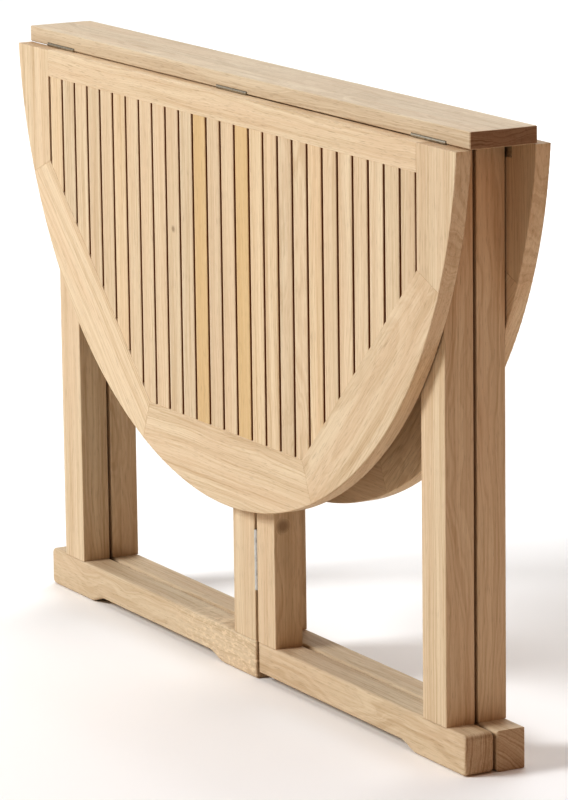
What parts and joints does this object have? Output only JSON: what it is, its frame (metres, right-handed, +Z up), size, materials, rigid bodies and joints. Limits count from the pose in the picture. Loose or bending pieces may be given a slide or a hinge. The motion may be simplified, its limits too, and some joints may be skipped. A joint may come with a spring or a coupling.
{
  "type": "folding gateleg table",
  "caption": "Round folding gateleg table in pale hardwood: narrow fixed board, two hanging slatted half-round leaves on butt hinges, and a flat post-and-rail base with swinging gates.",
  "frame": {"origin": "on the floor under the middle of the folded table", "axes": "+X along the fixed board, -Y to the front leaf, +Z up"},
  "size_m": [1.1, 0.123, 0.74],
  "materials": {
    "teak_board": "untreated, finely sanded",
    "teak_leaf_frame": "untreated, finely sanded",
    "teak_slats": "untreated, finely sanded, tone varies from slat to slat",
    "teak_base": "untreated, finely sanded",
    "beech_dowels": "plain",
    "leaf_hinge_bronze": "dulled, brown",
    "gate_hinge_steel": "zinc plated, satin",
    "fixing_steel": "zinc plated, satin"
  },
  "bodies": {
    "frame": {"back_fixed_centre_post": "teak_base", "back_fixed_foot_rail": "teak_base", "back_fixed_outer_post": "teak_base", "back_fixed_top_rail": "teak_base", "back_gate_hinge_fixed_plates": "gate_hinge_steel", "back_gate_hinge_fixed_screws": "gate_hinge_steel", "back_gate_hinge_pins": "gate_hinge_steel", "back_hinge_board_plates": "leaf_hinge_bronze", "back_hinge_board_screws": "leaf_hinge_bronze", "back_hinge_pins": "leaf_hinge_bronze", "board_back_stave": "teak_board", "board_fixing_screws": "fixing_steel", "board_front_stave": "teak_board", "board_middle_stave": "teak_board", "centre_dowels": "beech_dowels", "centre_spacers": "teak_base", "front_fixed_centre_post": "teak_base", "front_fixed_foot_rail": "teak_base", "front_fixed_outer_post": "teak_base", "front_fixed_top_rail": "teak_base", "front_gate_hinge_fixed_plates": "gate_hinge_steel", "front_gate_hinge_fixed_screws": "gate_hinge_steel", "front_gate_hinge_pins": "gate_hinge_steel", "front_hinge_board_plates": "leaf_hinge_bronze", "front_hinge_board_screws": "leaf_hinge_bronze", "front_hinge_pins": "leaf_hinge_bronze"},
    "front_leaf": {"front_hinge_leaf_plates": "leaf_hinge_bronze", "front_hinge_leaf_screws": "leaf_hinge_bronze", "front_leaf_bottom_piece": "teak_leaf_frame", "front_leaf_left_diagonal": "teak_leaf_frame", "front_leaf_left_stile": "teak_leaf_frame", "front_leaf_right_diagonal": "teak_leaf_frame", "front_leaf_right_stile": "teak_leaf_frame", "front_leaf_slats": "teak_slats", "front_leaf_top_rail": "teak_leaf_frame"},
    "back_leaf": {"back_hinge_leaf_plates": "leaf_hinge_bronze", "back_hinge_leaf_screws": "leaf_hinge_bronze", "back_leaf_bottom_piece": "teak_leaf_frame", "back_leaf_left_diagonal": "teak_leaf_frame", "back_leaf_left_stile": "teak_leaf_frame", "back_leaf_right_diagonal": "teak_leaf_frame", "back_leaf_right_stile": "teak_leaf_frame", "back_leaf_slats": "teak_slats", "back_leaf_top_rail": "teak_leaf_frame"},
    "front_gate": {"front_gate_foot_rail": "teak_base", "front_gate_hinge_moving_plates": "gate_hinge_steel", "front_gate_hinge_moving_screws": "gate_hinge_steel", "front_gate_inner_post": "teak_base", "front_gate_outer_post": "teak_base", "front_gate_top_rail": "teak_base"},
    "back_gate": {"back_gate_foot_rail": "teak_base", "back_gate_hinge_moving_plates": "gate_hinge_steel", "back_gate_hinge_moving_screws": "gate_hinge_steel", "back_gate_inner_post": "teak_base", "back_gate_outer_post": "teak_base", "back_gate_top_rail": "teak_base"}
  },
  "joints": [
    {"name": "front_leaf_hinge", "type": "hinge", "parent": "frame", "child": "front_leaf", "pos_m": [0, -0.0425, 0.721], "axis": [-1, 0, 0], "range_deg": [0, 90]},
    {"name": "back_leaf_hinge", "type": "hinge", "parent": "frame", "child": "back_leaf", "pos_m": [0, 0.0425, 0.721], "axis": [1, 0, 0], "range_deg": [0, 90]},
    {"name": "front_gate_hinge", "type": "hinge", "parent": "frame", "child": "front_gate", "pos_m": [0.0375, -0.0386, 0.15], "axis": [0, 0, -1], "range_deg": [0, 0.15]},
    {"name": "back_gate_hinge", "type": "hinge", "parent": "frame", "child": "back_gate", "pos_m": [-0.0375, 0.0386, 0.15], "axis": [0, 0, -1], "range_deg": [0, 0.15]}
  ]
}
